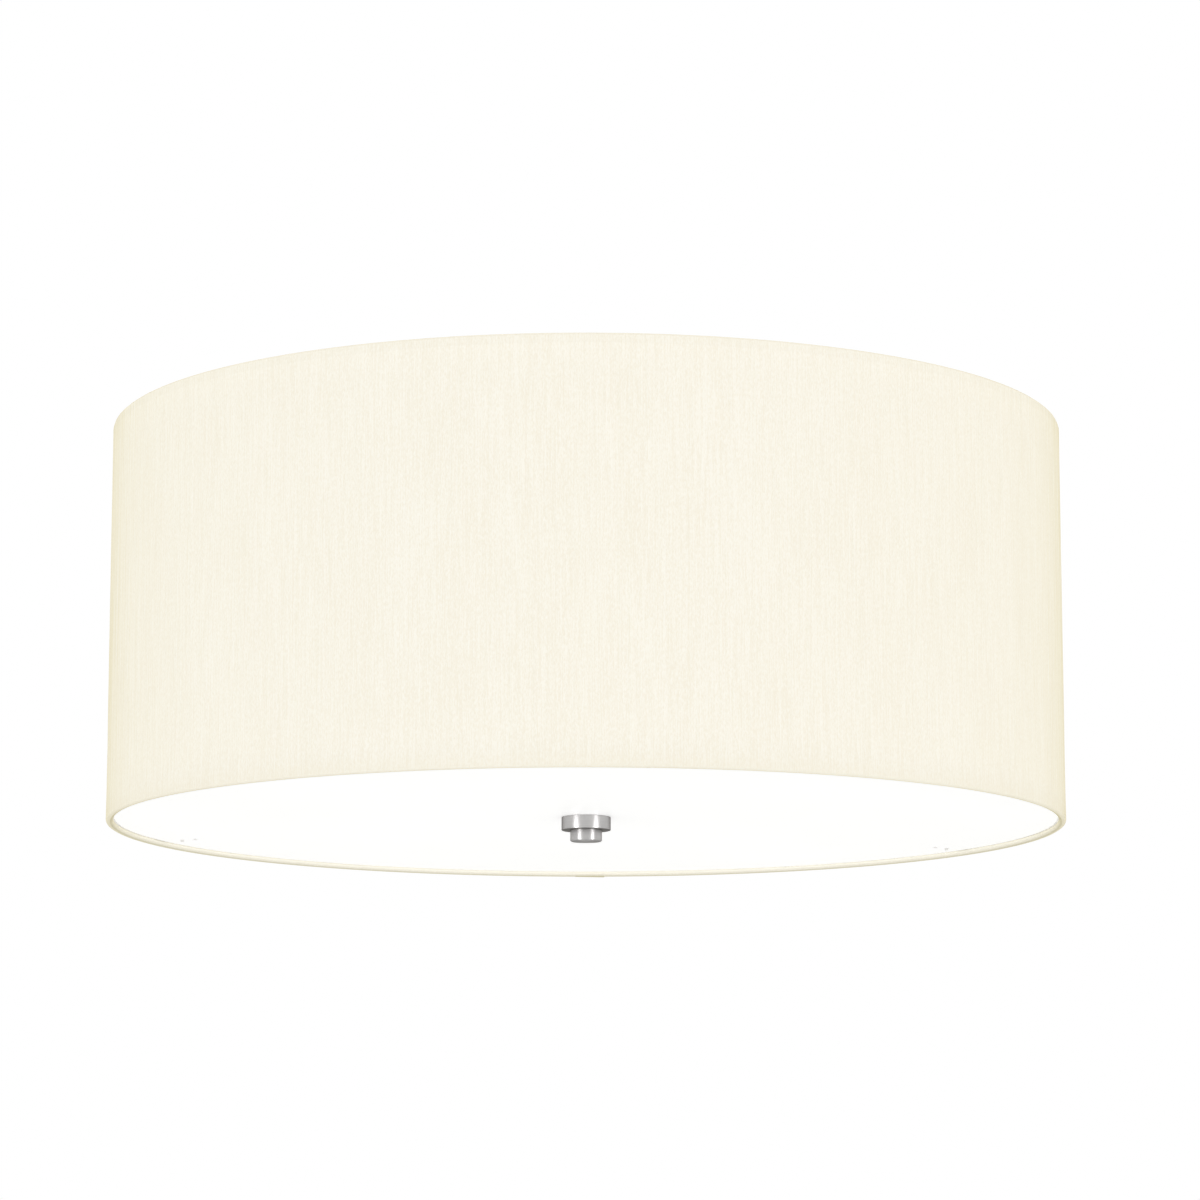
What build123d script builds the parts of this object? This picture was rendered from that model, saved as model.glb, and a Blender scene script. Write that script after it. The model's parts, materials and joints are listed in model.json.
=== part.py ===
import os
from math import cos, degrees, radians, sin, sqrt

from build123d import *

# Flush ceiling light with a fabric drum shade, an opal disc across its mouth and three lamps inside.
# Millimetres. The origin is the middle of the face that meets the ceiling, +Z points into the
# ceiling, and everything hangs below it.

# ---------------------------------------------------------------- driving sizes
# shade
shade_d = 600.0  # outside the fabric
shade_h = 250.0  # edge to edge
ceiling_gap = 12.0  # ceiling to the shade's top edge
cover_t = 0.35  # pleated fabric
glue_t = 0.05  # film between the fabric and the laminate
lining_t = 0.25  # stiff laminate behind the fabric
ring_wire_d = 2.2
ring_room = 0.15  # laminate to the ring wires
roll_open = 0.85  # how far past the top of the wire the rolled fabric ends
seam_azimuth = 89.5  # where the fabric's two ends lap, at the back
seam_lap_w = 20.0
# carrier of the shade
spoke_azimuths = (30.0, 150.0, 270.0)
spoke_d = 3.5
spider_drop = 28.0  # top ring down to the spokes' inner ends
shoulder_run = 16.0  # level stretch of a spoke beside the ring
slope_run = 30.0  # sloping stretch after it
spoke_bend = 12.0
spider_hub_d = 34.0
spider_hub_t = 1.6
spoke_notch_room = 0.5
weld_room = 0.05  # a spoke's cut end to the ring wire
spoke_tail = 2.6  # sleeve to a spoke's inner end
# diffuser and what centres its edge
diffuser_room = 4.8  # disc's edge in from the outside of the fabric
diffuser_t = 3.0
diffuser_recess = 3.4  # shade's lower edge up to the disc's edge
diffuser_rise = 3.4  # the finial holds the middle this much above the edge
diffuser_land_d = 40.0  # flat middle between the washer and the finial
diffuser_hole_d = 11.2
tab_azimuths = (32.0, 159.0, 277.5)
tab_w = 10.0
tab_t = 1.0
tab_reach = 36.0  # ring wire inwards
tab_room = 0.3
pin_d = 2.4
pin_hole_d = 3.6
pin_head_d = 4.0
pin_head_h = 0.8
pin_insets = (16.2, 25.5)  # ring wire to each pin
pin_ends = (1.2, 0.4)  # below the disc, for each pin
# finial
cap_d = 31.0
cap_h = 8.2
cap_wall = 1.2
cap_base = 1.6
knob_d = 20.0
knob_h = 7.0
knob_floor = 2.0
knob_edge = 0.6
flat_room = 0.1  # between flat faces that part when the finial is turned
cut_past = 1.0  # how far a cut runs out of a face
# threaded tube and what it clamps
rod_d = 10.0
rod_bore_d = 7.0
rod_top_room = 12.0  # ceiling to the top of the tube
thread_room = 0.06
hole_room = 0.3
nut_af = 14.0
nut_h = 4.0
washer_d = 18.0
washer_t = 1.2
soft_washer_d = 22.0
soft_washer_t = 1.5
sleeve_d = 14.0
# ceiling cup
cup_d = 130.0
cup_h = 28.0
cup_t = 1.0
cup_corner = 7.0
side_screw_drop = 9.0  # ceiling to the side screws
side_screw_d = 4.0
side_screw_l = 9.0
side_screw_head_d = 7.6
side_screw_head_h = 2.4
screw_hole_room = 0.2
grommet_d = 8.0
grommet_flange_d = 11.0
grommet_flange_t = 1.0
grommet_bore_d = 5.0
grommet_r = 24.0
# mounting strap
strap_w = 26.0
strap_t = 1.6
strap_tab_h = 16.0
strap_bend = 2.4
strap_room = 0.4
slot_spacing = 80.0
slot_l = 20.0
slot_w = 5.2
entry_d = 16.0  # supply cable hole
earth_x = -19.0
earth_screw_d = 4.0
earth_head_d = 7.0
earth_head_h = 2.4
lug_d = 8.0
lug_t = 0.8
lug_barrel_d = 3.4
lug_barrel_l = 7.0
# terminal block
block_room = 12.5  # cup's wall to the block
block_w = 33.0
block_depth = 17.0
block_h = 14.0
block_corner = 1.0
way_spacing = 10.0
way_z_up = 7.0  # cup floor to the ways
insert_d = 6.0
insert_bore_d = 3.8
insert_l = 14.0
insert_room = 0.05
clamp_screw_d = 2.8
clamp_pitch = 8.0
clamp_head_d = 3.6
clamp_head_h = 1.4
clamp_well_d = 4.2
fixing_x = 5.0
fixing_d = 3.0
fixing_head_d = 5.4
fixing_head_h = 1.8
fixing_nut_af = 5.5
fixing_nut_h = 2.4
# lamp bracket
lamp_azimuths = (90.0, 210.0, 330.0)
bracket_z = -100.0  # upper face
bracket_t = 2.0
bracket_hub_d = 44.0
arm_w = 24.0
arm_reach = 46.0  # axis to the outer face of a tab
arm_tab_h = 32.0
arm_bend = 3.0
lead_hole_d = 9.0
lamp_drop = 18.0  # bracket's upper face to a lamp's axis
# lampholder
nipple_d = 10.0
nipple_bore_d = 7.0
nipple_in = 8.0  # past the tab, inwards
nipple_out = 7.5  # past the tab, outwards
holder_base_d = 23.0
holder_base_l = 9.0
holder_d = 39.0
holder_cone_l = 5.0
holder_l = 46.0
holder_wall = 2.0
holder_floor = 3.0
shell_t = 0.5
shell_lip = 1.0  # mouth of the holder to the end of the thread shell
shell_floor_hole_d = 12.0
contact_rivet_d = 5.0
contact_d = 9.0
contact_t = 1.0
contact_up = 3.2  # holder's floor to the contact
# lamp
lamp_thread_d = 26.2
lamp_thread_room = 0.35
thread_pitch = 3.63
thread_depth = 0.5
thread_turns = 5
lamp_seat_room = 0.3
tip_d = 8.0
tip_h = 2.0
cap_shell_t = 0.4
cap_shoulder = 3.0
lamp_d = 60.0
lamp_bulge = 50.5  # end of the thread cap to the middle of the globe
collar_l = 37.0
collar_start_d = 29.0
collar_end_d = 54.0
collar_wall = 1.6
collar_spigot_l = 12.0
globe_t = 1.0
board_t = 1.6
board_room = 0.2
# leads
core_d = 1.8
core_pair = 1.4  # half the distance between the two cores of a lamp
core_bundle = 1.6
core_bend = 5.0
core_lead_in = 6.0
live_z = -19.5
neutral_z = -9.5
lamp_bend = 8.0
earth_core_d = 2.0
earth_z = -7.5

# ---------------------------------------------------------------- levels and radii
rim_z = -(ceiling_gap + shade_h)
cover_r = shade_d / 2
lining_r = cover_r - cover_t - glue_t
wire_r = ring_wire_d / 2
ring_r = lining_r - lining_t - ring_room - wire_r
roll_r = cover_r - ring_r
bottom_ring_z = rim_z + roll_r
top_ring_z = -ceiling_gap - roll_r
diffuser_d = shade_d - 2 * diffuser_room
rod_r = rod_d / 2
rod_hole_r = rod_r + hole_room
cup_floor_z = -(cup_h - cup_t)
strap_half = sqrt((cup_d / 2 - cup_t) ** 2 - (strap_w / 2) ** 2) - strap_room
spoke_in_z = top_ring_z - spider_drop
hub_top_z = spoke_in_z - spoke_d / 2
hub_low_z = hub_top_z - spider_hub_t
disc_edge_z = rim_z + diffuser_recess
disc_mid_z = disc_edge_z + diffuser_rise
cap_top_z = disc_mid_z - flat_room
knob_top_z = cap_top_z - cap_h - flat_room
rod_low_z = knob_top_z - knob_h + knob_floor + 2 * hole_room
soft_washer_z = disc_mid_z + diffuser_t + flat_room
lamp_z = bracket_z - lamp_drop
holder_end = arm_reach + holder_l
floor_end = arm_reach + holder_base_l + holder_floor
tip_s = floor_end + contact_up + contact_t + lamp_seat_room
lamp_base_s = holder_end + 2 * lamp_seat_room
globe_s = lamp_base_s + collar_l
block_y = cup_d / 2 - cup_t - block_room - block_depth / 2
block_front_y = block_y - block_depth / 2
way_z = cup_floor_z + way_z_up


# ---------------------------------------------------------------- helpers
def turned(*points):
    """A solid of revolution about Z from the corners (radius, height) of half its section."""
    return revolve(Plane.XZ * make_face(Polyline(*points, close=True)), Axis.Z)


def tube(outer, inner, low, high):
    return turned((inner, low), (outer, low), (outer, high), (inner, high))


def round_bar(radius, low, high):
    return Pos(0, 0, (low + high) / 2) * Cylinder(radius, high - low)


def hex_nut(across, height, hole_r, low):
    blank = extrude(RegularPolygon(across / 2, 6, major_radius=False), height)
    return Pos(0, 0, low) * blank - round_bar(hole_r, low - cut_past, low + height + cut_past)


def along_radius(azimuth, z, part):
    """Lays a part built along +Z on its side, so that its height is the distance from the tube's axis."""
    return Pos(0, 0, z) * Rot(0, 0, azimuth) * Rot(0, 90, 0) * part


def around(azimuth, part):
    return Rot(0, 0, azimuth) * part


def wire(points, radii, radius):
    path = FilletPolyline(*points, radius=radii)
    start = Plane(origin=path @ 0, z_dir=path % 0)
    return sweep(start * Circle(radius), path=path)


def save(name, shape):
    export_step(shape, f"parts/{name}.step")


def group(shapes):
    return Compound([solid for shape in shapes for solid in shape.solids()])


# ---------------------------------------------------------------- shade
def rolled_edge(z, inwards):
    """Section of the fabric rolled round a ring wire. inwards is +1 where the shade is above the wire."""
    span = 2 * roll_r
    ring = Circle(roll_r) - Circle(roll_r - cover_t)
    gap = Pos(span / 2 - roll_open, inwards * span / 2) * Rectangle(span, span)
    return Pos(ring_r, z) * (ring - gap)


def make_cover():
    wall_h = top_ring_z - bottom_ring_z
    wall = Pos(cover_r - cover_t / 2, (top_ring_z + bottom_ring_z) / 2) * Rectangle(cover_t, wall_h)
    section = wall + rolled_edge(bottom_ring_z, 1) + rolled_edge(top_ring_z, -1)
    cover = revolve(Plane.XZ * section, Axis.Z)
    lap_face = Pos(cover_r, (top_ring_z + bottom_ring_z) / 2) * Rectangle(cover_t, wall_h)
    lap_arc = degrees(seam_lap_w / cover_r)
    lap = revolve(Plane.XZ * lap_face, Axis.Z, lap_arc)
    cover += around(seam_azimuth - lap_arc / 2, lap)
    notch_w = spoke_d + 2 * spoke_notch_room
    for azimuth in spoke_azimuths:
        notch = Pos(ring_r - roll_r, 0, top_ring_z) * Box(2 * roll_r + wire_r, notch_w, notch_w)
        cover -= around(azimuth, notch)
    return cover


def make_lining():
    return tube(lining_r, lining_r - lining_t, bottom_ring_z, top_ring_z)


def make_ring(z):
    return Pos(0, 0, z) * Torus(ring_r, wire_r)


def make_spokes():
    inner = sleeve_d / 2 + spoke_tail
    shoulder = ring_r - shoulder_run
    route = [
        (ring_r, 0, top_ring_z),
        (shoulder, 0, top_ring_z),
        (shoulder - slope_run, 0, spoke_in_z),
        (inner, 0, spoke_in_z),
    ]
    spoke = wire(route, spoke_bend, spoke_d / 2)
    ring_room = Pos(0, 0, top_ring_z) * Torus(ring_r, wire_r + weld_room)
    outside = tube(ring_r + spoke_d, ring_r, top_ring_z - spoke_d, top_ring_z + spoke_d)
    spoke = spoke - ring_room - outside
    spoke = max(spoke.solids(), key=lambda solid: solid.volume)
    return group([around(azimuth, spoke) for azimuth in spoke_azimuths])


def make_spider_hub():
    return tube(spider_hub_d / 2, rod_hole_r, hub_low_z, hub_top_z)


def disc_z(radius):
    """Height of the disc's lower face at a radius. It falls evenly from the flat middle to the edge."""
    land_r, edge_r = diffuser_land_d / 2, diffuser_d / 2
    return disc_edge_z + diffuser_rise * min(1, (edge_r - radius) / (edge_r - land_r))


tab_low_z = disc_z(ring_r - tab_reach) + diffuser_t + tab_room


def make_tab():
    """A strip that stands on the bottom ring's wire and reaches in over the edge of the disc."""
    wire_top = bottom_ring_z + wire_r
    top = tab_low_z + tab_t
    corners = [
        (ring_r - tab_reach, tab_low_z),
        (ring_r - tab_t / 2, tab_low_z),
        (ring_r - tab_t / 2, wire_top),
        (ring_r + tab_t / 2, wire_top),
        (ring_r + tab_t / 2, top),
        (ring_r - tab_reach, top),
    ]
    strip = extrude(Plane.XZ * make_face(Polyline(*corners, close=True)), tab_w / 2, both=True)
    pin_hole = round_bar(pin_d / 2 + thread_room, tab_low_z - cut_past, top + cut_past)
    for inset in pin_insets:
        strip -= Pos(ring_r - inset, 0) * pin_hole
    return strip


def make_pin(inset, end):
    radius = ring_r - inset
    top = tab_low_z + tab_t
    low = disc_z(radius) - end
    pin = turned(
        (0, low), (pin_d / 2, low), (pin_d / 2, top), (pin_head_d / 2, top),
        (pin_head_d / 2, top + pin_head_h), (0, top + pin_head_h),
    )
    return Pos(radius, 0) * pin


def make_tabs():
    return group([around(azimuth, make_tab()) for azimuth in tab_azimuths])


def make_pins():
    pins = [make_pin(inset, end) for inset, end in zip(pin_insets, pin_ends)]
    return group([around(azimuth, pin) for azimuth in tab_azimuths for pin in pins])


def make_diffuser():
    section_ds = (diffuser_hole_d, diffuser_land_d, diffuser_d)
    lower = [(across / 2, disc_z(across / 2)) for across in section_ds]
    upper = [(radius, z + diffuser_t) for radius, z in lower]
    disc = turned(*lower, *reversed(upper))
    for azimuth in tab_azimuths:
        for inset in pin_insets:
            hole = Pos(ring_r - inset, 0) * round_bar(pin_hole_d / 2, rim_z, disc_mid_z + 2 * diffuser_t)
            disc -= around(azimuth, hole)
    return disc


# ---------------------------------------------------------------- finial
def make_finial_cap():
    low = cap_top_z - cap_h
    inner = cap_d / 2 - cap_wall
    return turned(
        (rod_hole_r, low), (cap_d / 2, low), (cap_d / 2, cap_top_z), (inner, cap_top_z),
        (inner, low + cap_base), (rod_hole_r, low + cap_base),
    )


def make_finial_knob():
    low = knob_top_z - knob_h
    knob = round_bar(knob_d / 2, low, knob_top_z)
    knob = chamfer(knob.edges().group_by(Axis.Z)[0], knob_edge)
    return knob - round_bar(rod_r + thread_room, low + knob_floor, knob_top_z + cut_past)


# ---------------------------------------------------------------- tube and clamped stack
washer_zs = (cup_floor_z, bracket_z - bracket_t - washer_t, soft_washer_z + soft_washer_t)
nut_zs = (cup_floor_z + washer_t, bracket_z - bracket_t - washer_t - nut_h, washer_zs[2] + washer_t)


def make_rod():
    return tube(rod_r, rod_bore_d / 2, rod_low_z, -rod_top_room)


def make_nuts():
    return group([hex_nut(nut_af, nut_h, rod_r + thread_room, z) for z in nut_zs])


def make_washers():
    return group([tube(washer_d / 2, rod_r + hole_room, z, z + washer_t) for z in washer_zs])


def make_soft_washer():
    return tube(soft_washer_d / 2, rod_r + hole_room, soft_washer_z, soft_washer_z + soft_washer_t)


def make_sleeve(low, high):
    return tube(sleeve_d / 2, rod_r + hole_room, low, high)


# ---------------------------------------------------------------- ceiling cup and strap
def make_cup():
    outer = round_bar(cup_d / 2, -cup_h, 0)
    outer = fillet(outer.edges().group_by(Axis.Z)[0], cup_corner)
    inner = round_bar(cup_d / 2 - cup_t, cup_floor_z, cut_past)
    inner = fillet(inner.edges().group_by(Axis.Z)[0], cup_corner - cup_t)
    cup = outer - inner - round_bar(rod_hole_r, -2 * cup_h, cut_past)
    for azimuth in lamp_azimuths:
        grommet_hole = round_bar(grommet_d / 2, -2 * cup_h, cup_floor_z + cut_past)
        cup -= around(azimuth, Pos(grommet_r, 0) * grommet_hole)
    for azimuth in (0, 180):
        hole_r = side_screw_d / 2 + screw_hole_room
        hole = along_radius(azimuth, -side_screw_drop, round_bar(hole_r, cup_d / 2 - 3 * cup_t, cup_d))
        cup -= hole
    fixing_hole = round_bar(fixing_d / 2 + thread_room, -2 * cup_h, cup_floor_z + cut_past)
    return cup - Pos(fixing_x, block_y) * fixing_hole


def make_grommet(azimuth):
    neck = grommet_d / 2 - thread_room
    flange = grommet_flange_d / 2
    bore = grommet_bore_d / 2
    low, high = -cup_h, cup_floor_z
    ring = turned(
        (bore, low - grommet_flange_t), (flange, low - grommet_flange_t), (flange, low), (neck, low),
        (neck, high), (flange, high), (flange, high + grommet_flange_t), (bore, high + grommet_flange_t),
    )
    return around(azimuth, Pos(grommet_r, 0) * ring)


def make_side_screw(azimuth):
    shank_r = side_screw_d / 2 - thread_room
    start = cup_d / 2
    shank = round_bar(shank_r, start - side_screw_l, start)
    head = round_bar(side_screw_head_d / 2, start, start + side_screw_head_h)
    head = fillet(head.edges().group_by(Axis.Z)[-1], side_screw_head_h / 3)
    return along_radius(azimuth, -side_screw_drop, shank + head)


def make_strap():
    width, height = 2 * strap_half, strap_tab_h
    outer = Pos(0, 0, -height / 2) * Box(width, strap_w, height)
    outer = fillet(outer.edges().filter_by(Axis.Y).group_by(Axis.Z)[-1], strap_bend)
    inner = Pos(0, 0, -strap_t - height / 2) * Box(width - 2 * strap_t, 2 * strap_w, height)
    inner = fillet(inner.edges().filter_by(Axis.Y).group_by(Axis.Z)[-1], strap_bend - strap_t)
    strap = outer - inner
    for side in (-1, 1):
        slot = extrude(SlotOverall(slot_l, slot_w), strap_t, both=True)
        strap -= Pos(side * slot_spacing / 2, 0, 0) * slot
    strap -= round_bar(entry_d / 2, -2 * strap_t, cut_past)
    strap -= Pos(earth_x, 0) * round_bar(earth_screw_d / 2, -2 * strap_t, cut_past)
    for azimuth in (0, 180):
        hole = round_bar(side_screw_d / 2, strap_half - 2 * strap_t, strap_half + cut_past)
        strap -= along_radius(azimuth, -side_screw_drop, hole)
    return strap


def make_earth_screw():
    shank = round_bar(earth_screw_d / 2 - thread_room, -strap_t - lug_t, -flat_room)
    head = round_bar(earth_head_d / 2, -strap_t - lug_t - earth_head_h, -strap_t - lug_t)
    head = fillet(head.edges().group_by(Axis.Z)[0], earth_head_h / 3)
    return Pos(earth_x, 0) * (shank + head)


def make_earth_lug():
    """A ring tongue under the earth screw with its barrel towards the terminal block."""
    high, low = -strap_t, -strap_t - lug_t
    tongue_l = strap_w / 2 + lug_barrel_l / 2
    tongue = Pos(0, tongue_l / 2, (high + low) / 2) * Box(lug_barrel_d, tongue_l, lug_t)
    plate = round_bar(lug_d / 2, low, high) + tongue
    along_barrel = Pos(0, strap_w / 2 + lug_barrel_l / 2, low) * Rot(-90, 0, 0)
    lug = plate + along_barrel * Cylinder(lug_barrel_d / 2, lug_barrel_l)
    lug -= along_barrel * Cylinder(earth_core_d / 2 + thread_room, lug_barrel_l)
    return Pos(earth_x, 0) * (lug - round_bar(earth_screw_d / 2, low - cut_past, high + cut_past))


# ---------------------------------------------------------------- terminal block
def way_xs():
    return [step * way_spacing for step in (-1, 0, 1)]


def block_bar(radius, length):
    return Pos(0, block_y, way_z) * Rot(90, 0, 0) * Cylinder(radius, length)


def make_block():
    block = Pos(0, block_y, cup_floor_z + block_h / 2) * Box(block_w, block_depth, block_h)
    block = fillet(block.edges().filter_by(Axis.Z), block_corner)
    well_top = cup_floor_z + block_h + cut_past
    for x in way_xs():
        block -= Pos(x, 0) * block_bar(insert_d / 2 + insert_room, insert_l)
        block -= Pos(x, 0) * block_bar(insert_bore_d / 2, block_depth + 2 * cut_past)
        for side in (-1, 1):
            well = round_bar(clamp_well_d / 2, way_z, well_top)
            block -= Pos(x, block_y + side * clamp_pitch / 2) * well
    fixing_way = round_bar(fixing_d / 2 + hole_room, cup_floor_z - cut_past, well_top)
    return block - Pos(fixing_x, block_y) * fixing_way


def make_inserts():
    parts = []
    for x in way_xs():
        insert = block_bar(insert_d / 2, insert_l) - block_bar(insert_bore_d / 2, 2 * insert_l)
        for side in (-1, 1):
            insert -= Pos(0, block_y + side * clamp_pitch / 2) * round_bar(clamp_screw_d / 2, way_z, 0)
        parts.append(Pos(x, 0) * insert)
    return group(parts)


def make_clamp_screws():
    seat = way_z + insert_d / 2
    low = way_z + insert_bore_d / 4
    shank_r = clamp_screw_d / 2 - thread_room
    screw = round_bar(shank_r, low, seat + clamp_head_h) + round_bar(
        clamp_head_d / 2, seat + hole_room, seat + hole_room + clamp_head_h
    )
    spots = [(x, block_y + side * clamp_pitch / 2) for x in way_xs() for side in (-1, 1)]
    return group([Pos(x, y) * screw for x, y in spots])


def make_fixing():
    """The screw that holds the terminal block to the cup, and its nut below the cup."""
    top = cup_floor_z + block_h
    shank = round_bar(fixing_d / 2, -cup_h - fixing_nut_h, top)
    head = round_bar(fixing_head_d / 2, top, top + fixing_head_h)
    nut = hex_nut(fixing_nut_af, fixing_nut_h, fixing_d / 2 + thread_room, -cup_h - fixing_nut_h)
    return group([Pos(fixing_x, block_y) * (shank + head), Pos(fixing_x, block_y) * nut])


# ---------------------------------------------------------------- lamp bracket and lampholders
def fold_edge(block):
    return block.edges().filter_by(Axis.Y).sort_by(Axis.Z)[-2:].sort_by(Axis.X)[-1]


def make_bracket():
    """A flat hub with an arm to each lamp. Each arm's end is folded down to carry a lampholder."""
    low = bracket_z - bracket_t
    bracket = round_bar(bracket_hub_d / 2, low, bracket_z)
    for azimuth in lamp_azimuths:
        outer = Pos(arm_reach / 2, 0, bracket_z - arm_tab_h / 2) * Box(arm_reach, arm_w, arm_tab_h)
        outer = fillet(fold_edge(outer), arm_bend)
        inner = Pos((arm_reach - bracket_t) / 2, 0, low - arm_tab_h / 2) * Box(
            arm_reach - bracket_t, 2 * arm_w, arm_tab_h
        )
        inner = fillet(fold_edge(inner), arm_bend - bracket_t)
        bracket += around(azimuth, outer - inner)
    for azimuth in lamp_azimuths:
        lead_hole = Pos(grommet_r, 0) * round_bar(lead_hole_d / 2, low - cut_past, bracket_z + cut_past)
        bracket -= around(azimuth, lead_hole)
        nipple_hole = round_bar(nipple_d / 2 + thread_room, grommet_r, 2 * arm_reach)
        bracket -= along_radius(azimuth, lamp_z, nipple_hole)
    return bracket - round_bar(rod_hole_r, low - cut_past, bracket_z + cut_past)


def make_nipple():
    start = arm_reach - bracket_t - nipple_in
    return tube(nipple_d / 2, nipple_bore_d / 2, start, arm_reach + nipple_out)


def make_holder_nut():
    return hex_nut(nut_af, nut_h, nipple_d / 2 + thread_room, arm_reach - bracket_t - nut_h)


def make_holder_body():
    """Insulating body: threaded base, cone, barrel and the floor that carries the shell and contact."""
    base_r, barrel_r = holder_base_d / 2, holder_d / 2
    inner_r = barrel_r - holder_wall
    base_end = arm_reach + holder_base_l
    cone_end = base_end + holder_cone_l
    bore_r = nipple_d / 2 + thread_room
    rivet_r = contact_rivet_d / 2
    body = turned(
        (bore_r, arm_reach), (base_r, arm_reach), (base_r, base_end), (barrel_r, cone_end),
        (barrel_r, holder_end), (inner_r, holder_end), (inner_r, floor_end), (rivet_r, floor_end),
        (rivet_r, base_end), (bore_r, base_end - holder_floor / 2),
    )
    for side in (-1, 1):
        lead_way = round_bar(core_d / 2 + hole_room, base_end - holder_floor, floor_end + cut_past)
        body -= Pos(0, side * (nipple_bore_d + contact_rivet_d) / 2) * lead_way
    return body


def make_thread_shell():
    """Brass screw shell: a tube for the lamp's thread, with a floor that lies on the body's floor."""
    inner = lamp_thread_d / 2 + lamp_thread_room
    outer = inner + shell_t
    return turned(
        (shell_floor_hole_d / 2, floor_end), (outer, floor_end), (outer, holder_end - shell_lip),
        (inner, holder_end - shell_lip), (inner, floor_end + shell_t),
        (shell_floor_hole_d / 2, floor_end + shell_t),
    )


def make_centre_contact():
    seat = floor_end + contact_up
    return round_bar(contact_rivet_d / 2 - thread_room, arm_reach + holder_base_l, seat) + round_bar(
        contact_d / 2, seat, seat + contact_t
    )


# ---------------------------------------------------------------- lamps
def make_lamp_tip():
    tip = round_bar(tip_d / 2, tip_s, tip_s + tip_h)
    return fillet(tip.edges().group_by(Axis.Z)[0], tip_h / 2)


def make_lamp_cap():
    """The lamp's screw cap, a thin shell with a rolled thread."""
    outer = lamp_thread_d / 2
    start, end = tip_s + tip_h, lamp_base_s
    thread_start = end - cap_shoulder - thread_turns * thread_pitch
    wave = []
    for turn in range(thread_turns):
        at = thread_start + turn * thread_pitch
        wave += [(outer - thread_depth, at), (outer, at + thread_pitch / 2)]
    wave.append((outer - thread_depth, end - cap_shoulder))
    skin = cap_shell_t + thread_depth
    lip = tip_d / 2 - 2 * cap_shell_t
    return turned(
        (lip, start), (tip_d / 2, start), *wave, (outer, end - cap_shoulder / 2),
        (outer, end), (outer - skin, end), (outer - skin, thread_start), (tip_d / 2, start + cap_shell_t),
        (lip, start + cap_shell_t),
    )


def make_lamp_collar():
    """The lamp's plastic body, from a spigot inside the cap out to the globe."""
    spigot = lamp_thread_d / 2 - cap_shell_t - thread_depth - hole_room
    start_r, end_r = collar_start_d / 2, collar_end_d / 2
    low, high = lamp_base_s, globe_s
    belly = ((start_r + end_r) / 2, (low + high) / 2)
    outside = ThreePointArc((start_r, low), (belly[0] - collar_wall, belly[1]), (end_r, high))
    inside = ThreePointArc(
        (end_r - collar_wall, high), (belly[0] - 2 * collar_wall, belly[1]), (spigot - collar_wall, low)
    )
    bottom = low - collar_spigot_l
    spigot_line = Polyline(
        (spigot - collar_wall, low), (spigot - collar_wall, bottom), (spigot, bottom), (spigot, low),
        (start_r, low),
    )
    outline = outside + Line((end_r, high), (end_r - collar_wall, high)) + inside + spigot_line
    return revolve(Plane.XZ * make_face(outline), Axis.Z)


def make_lamp_board():
    edge = collar_end_d / 2 - collar_wall - board_room
    return round_bar(edge - board_t, globe_s - board_t, globe_s)


def make_lamp_globe():
    """Opal shell, part of a sphere that stands on the collar's end."""
    radius = lamp_d / 2
    middle = lamp_base_s + lamp_bulge
    ball = Pos(0, 0, middle) * (Sphere(radius) - Sphere(radius - globe_t))
    return ball & round_bar(lamp_d, globe_s, middle + lamp_d)


# ---------------------------------------------------------------- leads
def core_route(azimuth, side, way_x, turn_z, slot):
    """Out of the nipple, up through the arm and the grommet, and across to a terminal."""
    turn, offset = radians(azimuth), side * core_pair
    radial, across = Vector(cos(turn), sin(turn)), Vector(-sin(turn), cos(turn))
    spread = radians(lamp_azimuths[slot])
    end = (way_x + core_bundle * cos(spread), way_z + core_bundle * sin(spread))
    inside = radial * (arm_reach + nipple_out / 2) + across * offset
    foot = radial * grommet_r + across * offset
    return [
        (inside.X, inside.Y, lamp_z),
        (foot.X, foot.Y, lamp_z),
        (foot.X, foot.Y, turn_z),
        (end[0], block_front_y - core_lead_in, end[1]),
        (end[0], block_front_y, end[1]),
    ]


def make_cores(side, way_x, turn_z):
    cores = []
    for slot, azimuth in enumerate(lamp_azimuths):
        route = core_route(azimuth, side, way_x, turn_z, slot)
        radii = [lamp_bend, core_bend / 2, core_bend / 2]
        cores.append(wire(route, radii, core_d / 2))
    return group(cores)


def make_earth_core():
    lug_end = (earth_x, strap_w / 2 + lug_barrel_l / 2, -strap_t - lug_t)
    route = [
        (0, block_front_y, way_z),
        (0, block_front_y - core_lead_in, way_z),
        (0, block_front_y - core_lead_in, earth_z),
        (earth_x, block_front_y - core_lead_in, lug_end[2]),
        lug_end,
    ]
    return wire(route, core_bend / 2, earth_core_d / 2)


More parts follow.
